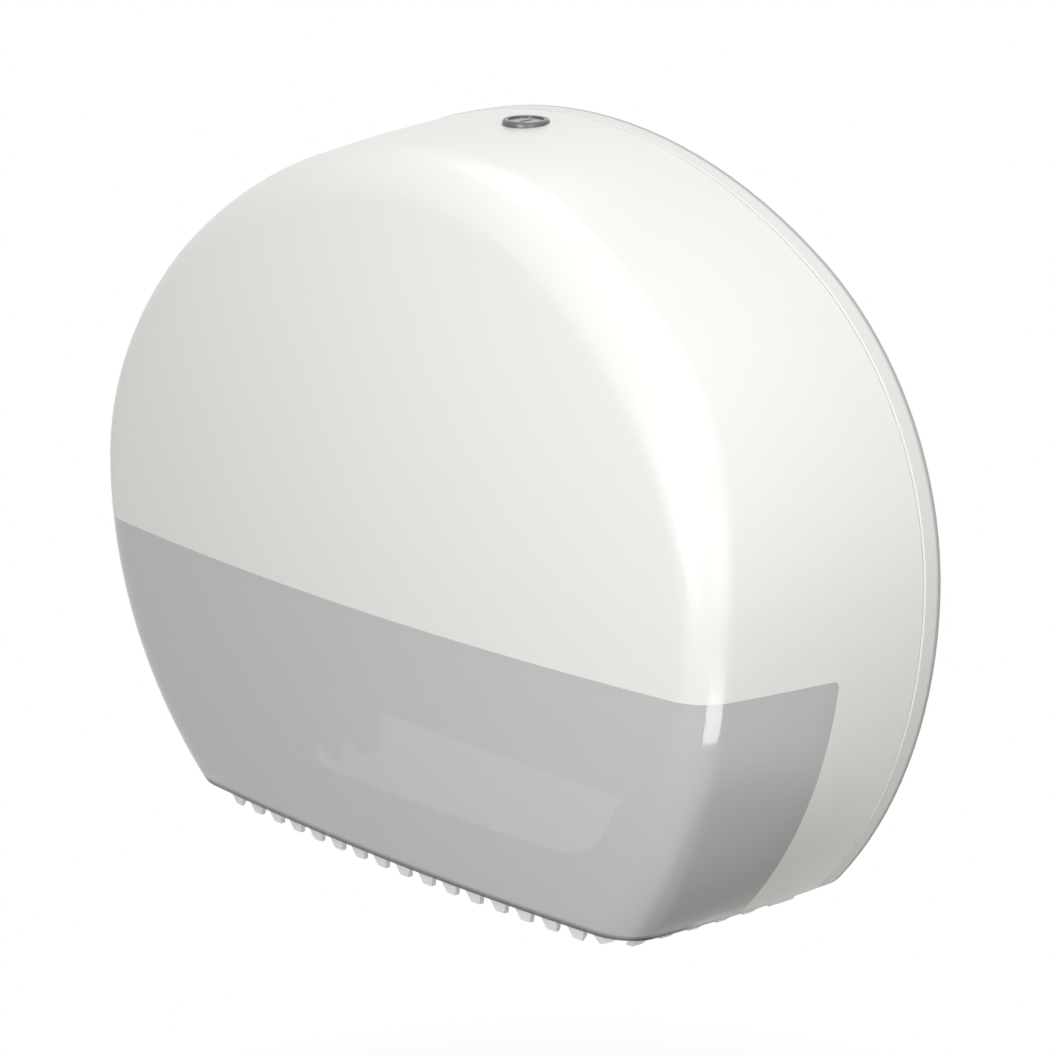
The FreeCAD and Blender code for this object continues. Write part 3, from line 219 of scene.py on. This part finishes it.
# More light gets through the window than the eye sees through it, so that the tray is lit.
window_rays = window_tree.nodes.new("ShaderNodeLightPath")
window_alpha = window_tree.nodes.new("ShaderNodeMapRange")
window_alpha.inputs["To Min"].default_value = 0.8
window_alpha.inputs["To Max"].default_value = 0.5
window_tree.links.new(window_rays.outputs["Is Shadow Ray"], window_alpha.inputs["Value"])
window_tree.links.new(window_alpha.outputs["Result"], shader_of(window_smoke).inputs["Alpha"])

window_foot = min(corner[2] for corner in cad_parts["window"].bound_box)
# Painted shade: a thin near-black band along the window's foot.
paint_shade_at_edge(window_smoke, "Z", start=window_foot + WINDOW_FOOT_SHADE_START,
           end=window_foot + WINDOW_FOOT_SHADE_END, stop=1, painted_shade_colour=(0.12, 0.12, 0.125))
shader_of(window_smoke).inputs["Coat Weight"].default_value = 0.3
shader_of(window_smoke).inputs["Coat Roughness"].default_value = 0.06
finish_piece("window", window_smoke)


# Window rivets: six push rivets in black nylon along the window's lap, which clamp it to the
# inside of the shell's wall. None of them shows on the front.

black_nylon = moulded_material("black_nylon", colour=(0.02, 0.02, 0.022), roughness=0.45,
                               grain=0.2, grain_scale=1500)
finish_piece("window_rivets", black_nylon)


# Back plate: satin white moulding fixed to the wall through four slots, with a rim all round,
# ribs, raised pads and the ears that carry the hinge pins. Painted shade darkens the rim next
# to the wall, and the flat back keeps its colour.

PLATE_RIM_SHADE_START = -0.0029
PLATE_RIM_SHADE_END = -0.0008
PLATE_RIM_SHADE_STOP = -0.0001
satin_white = moulded_material("satin_white", colour=(0.76, 0.76, 0.74), roughness=0.42,
                               grain=0.15, grain_scale=1400)
# Painted shade: the rim's colour darkens towards the wall, and stops short of the flat back.
paint_shade_at_edge(satin_white, "Y", start=PLATE_RIM_SHADE_START, end=PLATE_RIM_SHADE_END, stop=PLATE_RIM_SHADE_STOP,
           painted_shade_colour=(0.40, 0.395, 0.38))
finish_piece("back_plate", satin_white)


# Tear tray: light grey moulding screwed to the foot of the back plate, behind the window. The
# paper leaves through its open foot, whose edge is cut into blunt teeth on three sides.

tray_grey = moulded_material("tray_grey", colour=(0.92, 0.92, 0.92), roughness=0.4,
                             grain=0.15, grain_scale=1400)
finish_piece("tear_tray", tray_grey)


# Roll hubs: two grey core holders that turn on black nylon spindles screwed to the back plate.
# Washers of pressed grey felt brake them, and black caps keep them on.

hub_grey = moulded_material("hub_grey", colour=(0.42, 0.42, 0.43), roughness=0.45,
                            grain=0.2, grain_scale=1300)
for node in ("main_hub", "stub_hub"):
    finish_piece(node, hub_grey)
for node in ("main_spindle", "stub_spindle", "main_cap", "stub_cap"):
    finish_piece(node, black_nylon)


def add_shades(tree, mask, dark, light):
    """A colour that goes from dark to light as the mask goes from zero to one."""
    shades = tree.nodes.new("ShaderNodeValToRGB")
    shades.color_ramp.elements[0].color = (*dark, 1)
    shades.color_ramp.elements[1].color = (*light, 1)
    tree.links.new(mask, shades.inputs["Fac"])
    return shades.outputs["Color"]


def felt_material():
    """Pressed grey felt: matted fibres from distorted noise, with a soft sheen."""
    material, shader, place = start_material("brake_felt")
    tree = material.node_tree
    fibres = add_noise(tree, place, detail=6)
    fibres.inputs["Scale"].default_value = 900
    fibres.inputs["Distortion"].default_value = 1.5
    fibre_colour = add_shades(tree, fibres.outputs["Fac"], (0.05, 0.05, 0.055), (0.16, 0.16, 0.165))
    tree.links.new(fibre_colour, shader.inputs["Base Color"])
    nap = add_bump(tree, fibres.outputs["Fac"], distance=0.0003)
    nap.inputs["Strength"].default_value = 0.6
    tree.links.new(nap.outputs["Normal"], shader.inputs["Normal"])
    shader.inputs["Roughness"].default_value = 0.95
    shader.inputs["Sheen Weight"].default_value = 0.4
    return material


felt = felt_material()
for node in ("main_washer", "stub_washer"):
    finish_piece(node, felt)


# Steel parts: the screws, hinge pins, keeper bracket and lock nut, and the lock's hook and
# screw. All are zinc-plated, which leaves a mottled shine with fine drawn scratches.

def plated_steel_material():
    """Zinc-plated steel: mottled plating with fine drawn scratches."""
    material, shader, place = start_material("zinc_steel")
    tree = material.node_tree
    spangle = add_noise(tree, place, detail=4)
    spangle.inputs["Scale"].default_value = 260
    plating = add_shades(tree, spangle.outputs["Fac"], (0.42, 0.42, 0.43), (0.62, 0.62, 0.62))
    tree.links.new(plating, shader.inputs["Base Color"])
    stretch = tree.nodes.new("ShaderNodeMapping")
    stretch.inputs["Scale"].default_value = (4000, 300, 300)
    tree.links.new(place, stretch.inputs["Vector"])
    scratches = add_noise(tree, stretch.outputs["Vector"], detail=2)
    scratches.inputs["Scale"].default_value = 1
    relief = add_bump(tree, scratches.outputs["Fac"], distance=0.00005)
    relief.inputs["Strength"].default_value = 0.15
    tree.links.new(relief.outputs["Normal"], shader.inputs["Normal"])
    shader.inputs["Metallic"].default_value = 1
    shader.inputs["Roughness"].default_value = 0.34
    return material


zinc_steel = plated_steel_material()
for node in ("tray_screws", "main_spindle_screws", "stub_spindle_screws", "keeper_screws",
             "hinge_pins", "keeper", "lock_hook", "lock_screw", "lock_nut"):
    finish_piece(node, zinc_steel)


# Lock: a barrel with a dark plated bezel, put through the boss in the crown and held from
# inside by its nut. A lighter plated plug turns in it, with the key slot in its face.

bezel_plating = moulded_material("bezel_plating", colour=(0.16, 0.165, 0.17), roughness=0.28,
                                 grain=0.1, grain_scale=2500)
shader_of(bezel_plating).inputs["Metallic"].default_value = 0.7
finish_piece("lock_barrel", bezel_plating)
plug_plating = moulded_material("plug_plating", colour=(0.42, 0.43, 0.43), roughness=0.3,
                                grain=0.1, grain_scale=2500)
shader_of(plug_plating).inputs["Metallic"].default_value = 0.9
finish_piece("lock_plug", plug_plating)


# Floor and backdrop: matt pale ground a quarter of a metre below the dispenser, where the open
# cover clears it, in a white room. The ground keeps the soft shadow in its middle and is white
# to the eye farther out, and neither throws much light back up on the object.

FLOOR_LEVEL = -0.42
FLOOR_REACH = 6.0
SHADOW_START = 0.12
SHADOW_REACH = 0.36


def seen_by_eye(tree):
    """One for the camera's rays and those that go on through or off the object, else zero."""
    rays = tree.nodes.new("ShaderNodeLightPath")
    direct = work_out(tree, "MAXIMUM", rays.outputs["Is Camera Ray"],
                      rays.outputs["Is Transmission Ray"])
    return work_out(tree, "MAXIMUM", direct, rays.outputs["Is Glossy Ray"])


def fade_outwards(tree, place, start, end, middle, rim):
    """A value that goes smoothly from middle to rim as the distance goes from start to end."""
    reach = tree.nodes.new("ShaderNodeVectorMath")
    reach.operation = "LENGTH"
    tree.links.new(place, reach.inputs[0])
    fade = tree.nodes.new("ShaderNodeMapRange")
    fade.interpolation_type = "SMOOTHSTEP"
    fade.inputs["From Min"].default_value = start
    fade.inputs["From Max"].default_value = end
    fade.inputs["To Min"].default_value = middle
    fade.inputs["To Max"].default_value = rim
    tree.links.new(reach.outputs["Value"], fade.inputs["Value"])
    return fade.outputs["Result"]


bpy.ops.mesh.primitive_plane_add(size=2 * FLOOR_REACH, location=(0, 0, FLOOR_LEVEL))
floor = bpy.context.object
floor.name = "floor"
floor_paint, floor_shader, floor_place = start_material("floor_paint")
floor_shader.inputs["Roughness"].default_value = 0.9
floor_shader.inputs["Specular IOR Level"].default_value = 0
floor_tree = floor_paint.node_tree
floor_link = floor_tree.links.new
floor_seen = seen_by_eye(floor_tree)
floor_shade = floor_tree.nodes.new("ShaderNodeMix")
floor_shade.data_type = "RGBA"
floor_shade.inputs["A"].default_value = (0.42, 0.41, 0.39, 1)
floor_shade.inputs["B"].default_value = (0.96, 0.96, 0.96, 1)
floor_link(floor_seen, floor_shade.inputs["Factor"])
floor_link(floor_shade.outputs["Result"], floor_shader.inputs["Base Color"])
far_out = fade_outwards(floor_tree, floor_place, SHADOW_START, SHADOW_REACH, middle=0, rim=1)
floor_glow = floor_tree.nodes.new("ShaderNodeEmission")
floor_mix = floor_tree.nodes.new("ShaderNodeMixShader")
floor_link(work_out(floor_tree, "MULTIPLY", far_out, floor_seen), floor_mix.inputs["Fac"])
floor_link(floor_shader.outputs["BSDF"], floor_mix.inputs[1])
floor_link(floor_glow.outputs["Emission"], floor_mix.inputs[2])
floor_output = floor_tree.nodes["Material Output"]
floor_link(floor_mix.outputs["Shader"], floor_output.inputs["Surface"])
floor.data.materials.append(floor_paint)

room = bpy.data.worlds.new("studio")
bpy.context.scene.world = room
room.use_nodes = True
room_tree = room.node_tree
room_light = room_tree.nodes["Background"]
room_light.inputs["Color"].default_value = (1, 1, 1, 1)
room_strength = room_tree.nodes.new("ShaderNodeMapRange")
room_strength.inputs["To Min"].default_value = 0.485
room_strength.inputs["To Max"].default_value = 1.0
room_tree.links.new(seen_by_eye(room_tree), room_strength.inputs["Value"])
room_tree.links.new(room_strength.outputs["Result"], room_light.inputs["Strength"])


# Studio light: four broad soft panels, and a small one whose reflection is the bright spot on
# the window's corner. A dark card that only reflections see darkens the window's side towards
# its foot, and fades out at its rim, so that no edge of it shows.

COVER_MIDDLE = Vector((0, -0.06, 0))
WINDOW_CORNER = Vector((0.1985, -0.11, -0.057))
CARD_SIZE = 0.34
CARD_FULL_REACH = 0.09
CARD_PLACE = (0.2175, -0.0415, -0.303)
CARD_FACING = Vector((-0.505, -0.38, 0.74))


def soft_panel(name, place, size, power, aim=COVER_MIDDLE):
    """A soft rectangular lamp that the camera doesn't see, in metres and watts."""
    light = bpy.data.lights.new(name, "AREA")
    light.shape = "RECTANGLE"
    light.size, light.size_y = size
    light.energy = power
    panel = bpy.data.objects.new(name, light)
    bpy.context.scene.collection.objects.link(panel)
    panel.visible_camera = False
    panel.location = place
    panel.rotation_euler = (aim - Vector(place)).to_track_quat("-Z", "Y").to_euler()
    return panel


soft_panel("crown_panel", place=(0.8, -0.3, 1.3), size=(0.8, 0.8), power=7.5)
soft_panel("side_panel", place=(1.6, -0.6, 0.3), size=(1.0, 1.0), power=5.9)
soft_panel("front_panel", place=(0.35, -0.9, 0.2), size=(0.5, 0.5), power=3.3)
soft_panel("rear_panel", place=(-0.6, 0.3, 1.4), size=(0.8, 0.8), power=3.6)
corner_panel = soft_panel("corner_panel", place=(0.344, -0.149, -0.155), size=(0.115, 0.056),
                          power=0.135, aim=WINDOW_CORNER)
corner_panel.visible_diffuse = False

bpy.ops.mesh.primitive_plane_add(size=CARD_SIZE, location=CARD_PLACE)
dark_card = bpy.context.object
dark_card.name = "dark_card"
dark_card.rotation_euler = CARD_FACING.to_track_quat("Z", "Y").to_euler()
card_paint, card_shader, card_place = start_material("card_paint")
card_shader.inputs["Base Color"].default_value = (0.03, 0.03, 0.03, 1)
card_shader.inputs["Roughness"].default_value = 1
card_shader.inputs["Specular IOR Level"].default_value = 0
card_tree = card_paint.node_tree
card_alpha = fade_outwards(card_tree, card_place, CARD_FULL_REACH, CARD_SIZE / 2, middle=1, rim=0)
card_tree.links.new(card_alpha, card_shader.inputs["Alpha"])
dark_card.data.materials.append(card_paint)
dark_card.visible_camera = False
dark_card.visible_diffuse = False
dark_card.visible_transmission = False
dark_card.visible_shadow = False


# Camera: a long lens in front, to the right and a little above, as the photograph was taken.
# Its place, its direction and the focal length in pixels come from fitting the part's outline.

CAMERA_PLACE = Vector((1.3140, -1.2253, 0.4650))
CAMERA_BACK = Vector((0.7128, -0.6474, 0.2696))
SENSOR = 36.0
FRAME_PIXELS = 1056
FOCAL_PIXELS = 4127.3
FARTHEST_SEEN = 50
lens = bpy.data.cameras.new("camera")
lens.sensor_width = SENSOR
lens.lens = FOCAL_PIXELS / FRAME_PIXELS * SENSOR
lens.clip_end = FARTHEST_SEEN
camera = bpy.data.objects.new("camera", lens)
bpy.context.scene.collection.objects.link(camera)
camera.location = CAMERA_PLACE
camera.rotation_euler = (-CAMERA_BACK).to_track_quat("-Z", "Y").to_euler()
bpy.context.scene.camera = camera

bpy.context.scene.view_settings.view_transform = "Standard"
